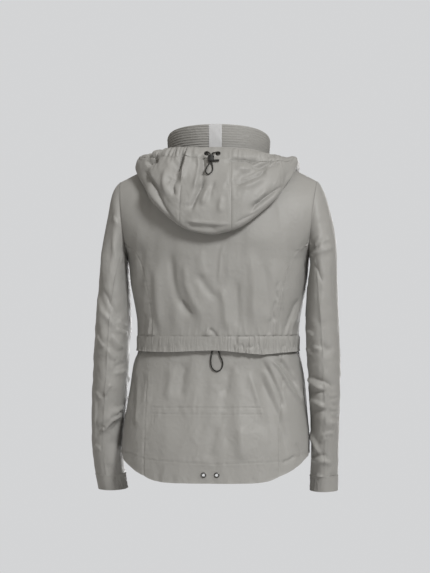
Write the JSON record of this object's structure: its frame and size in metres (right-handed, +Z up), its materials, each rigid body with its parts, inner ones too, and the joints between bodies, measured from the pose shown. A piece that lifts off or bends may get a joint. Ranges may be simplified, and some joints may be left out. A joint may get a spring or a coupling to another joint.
{
  "type": "hooded jacket",
  "caption": "Light hip-length hooded jacket, zipped shut and filled out as if worn, with a hood hanging open down its back, a stand collar and a curved hem",
  "frame": {"origin": "centre of the neck opening, level with the collar seam at the centre back", "axes": "+Z up along the body, from the hem to the collar; -Y is the way the wearer faces; +X is the wearer's left"},
  "size_m": [0.5018, 0.2826, 0.7283],
  "materials": {
    "shell": "smooth light woven synthetic with a faint sheen",
    "collar_tape": "smooth pale tape",
    "zip_tape": "fine woven tape",
    "zip_teeth": "moulded teeth",
    "zip_metal": "satin",
    "black_metal": "satin black",
    "grey_metal": "dark nickel",
    "black_plastic": "moulded",
    "cord": "braided elastic cord"
  },
  "bodies": {
    "garment": {"yoke_centre": "shell", "yoke_left": "shell", "yoke_right": "shell", "yoke_casing": "shell", "back_centre": "shell", "back_left": "shell", "back_right": "shell", "front_left": "shell", "front_right": "shell", "collar": "shell", "sleeve_left_top": "shell", "sleeve_left_under": "shell", "sleeve_right_top": "shell", "sleeve_right_under": "shell", "cuff_left": "shell", "cuff_right": "shell", "hood_left": "shell", "hood_centre": "shell", "hood_right": "shell", "hood_casing": "shell", "collar_tape": "collar_tape", "zip_tape_left": "zip_tape", "zip_tape_right": "zip_tape", "zip_chain": "zip_teeth", "zip_slider": "zip_metal", "hood_eyelet_left": "black_metal", "hood_eyelet_right": "black_metal", "hem_eyelet_left": "grey_metal", "hem_eyelet_right": "grey_metal", "cord_stop_barrel": "black_plastic", "hood_cord_left": "cord", "hood_cord_right": "cord", "hood_cord_loop": "cord", "waist_cord_loop": "cord"},
    "zip_pull": {"zip_pull": "zip_metal"},
    "cord_stop_button": {"cord_stop_button": "black_plastic"}
  },
  "joints": [
    {"name": "zip_pull_swing", "type": "hinge", "parent": "garment", "child": "zip_pull", "pos_m": [0, -0.09478, -0.03402], "axis": [-1, 0, 0], "range_deg": [0, 165]},
    {"name": "stopper_press", "type": "slide", "parent": "garment", "child": "cord_stop_button", "axis": [1, 0, 0], "range_m": [0, 0.003], "stiffness_N_per_m": 300}
  ]
}
